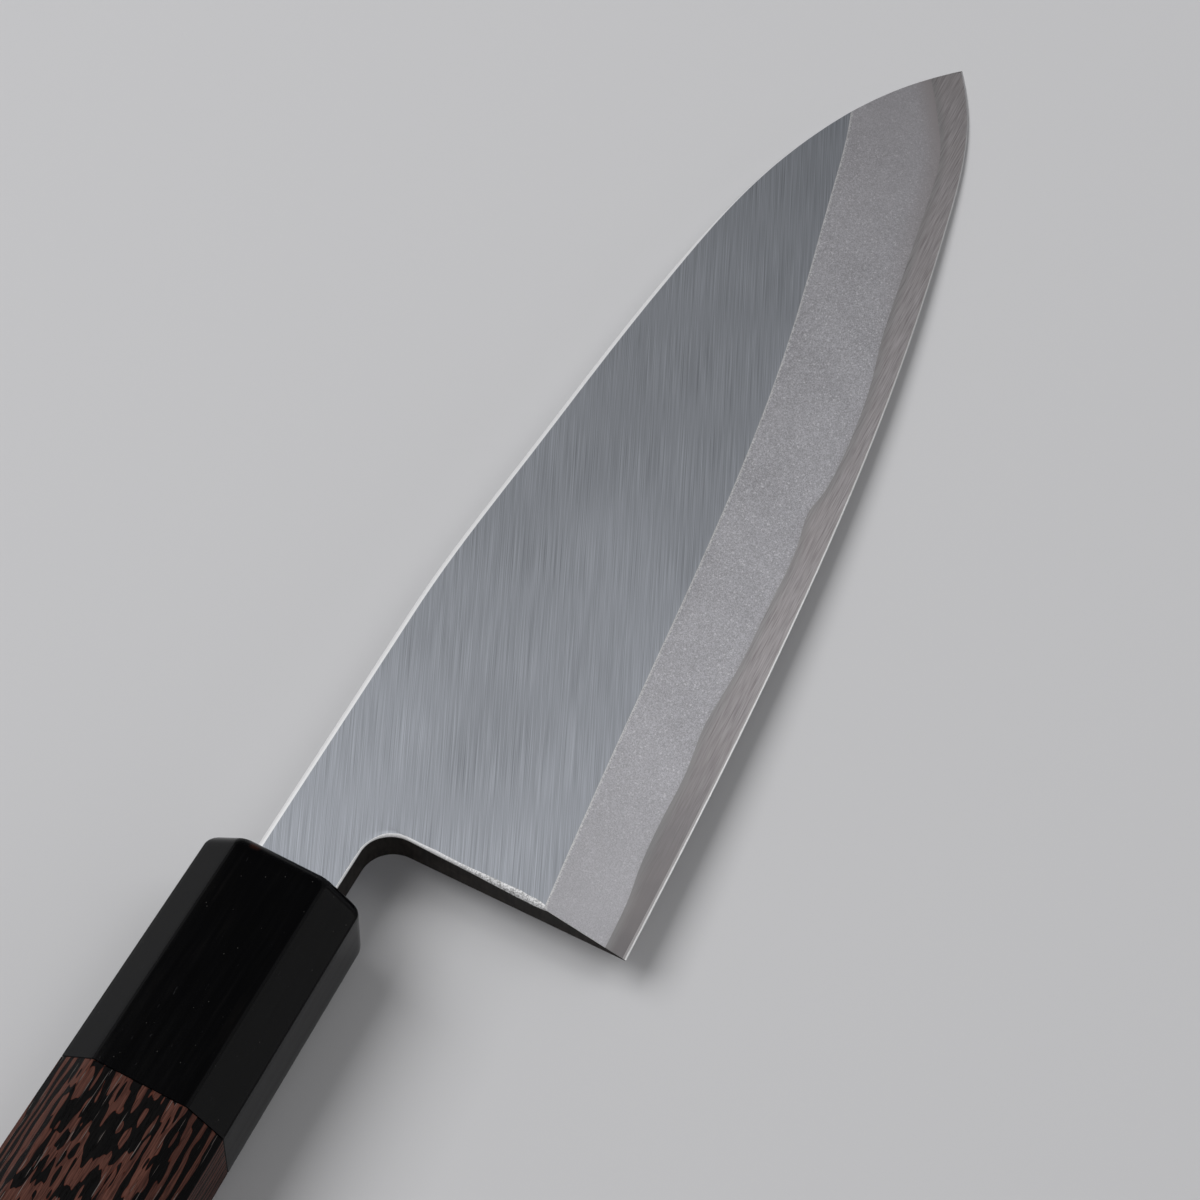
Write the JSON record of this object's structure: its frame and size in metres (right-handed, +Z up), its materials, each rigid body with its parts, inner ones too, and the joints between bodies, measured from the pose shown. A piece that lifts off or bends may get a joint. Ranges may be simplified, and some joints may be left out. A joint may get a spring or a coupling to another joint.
{
  "type": "deba knife",
  "caption": "Heavy single-bevel kitchen knife for fish, with a two-layer steel blade and a tapered octagonal wooden handle behind a dark horn ferrule.",
  "frame": {"origin": "middle of the knife's box on the table, where it lies on its hollow back, front face up", "axes": "+X from the butt to the tip, level with the table; +Y from the cutting edge to the spine; +Z up, out of the front face"},
  "size_m": [0.2932, 0.0574, 0.0269],
  "materials": {
    "soft_steel": "ground satin",
    "hard_steel": "stone ground",
    "horn": "polished",
    "handle_wood": "oiled and polished",
    "dowel_wood": "raw",
    "bedding_resin": "matte"
  },
  "bodies": {
    "root": {"blade_cladding": "soft_steel", "edge_steel": "hard_steel", "ferrule": "horn", "handle_body": "handle_wood", "handle_dowel": "dowel_wood", "tang_bedding": "bedding_resin"}
  },
  "joints": []
}
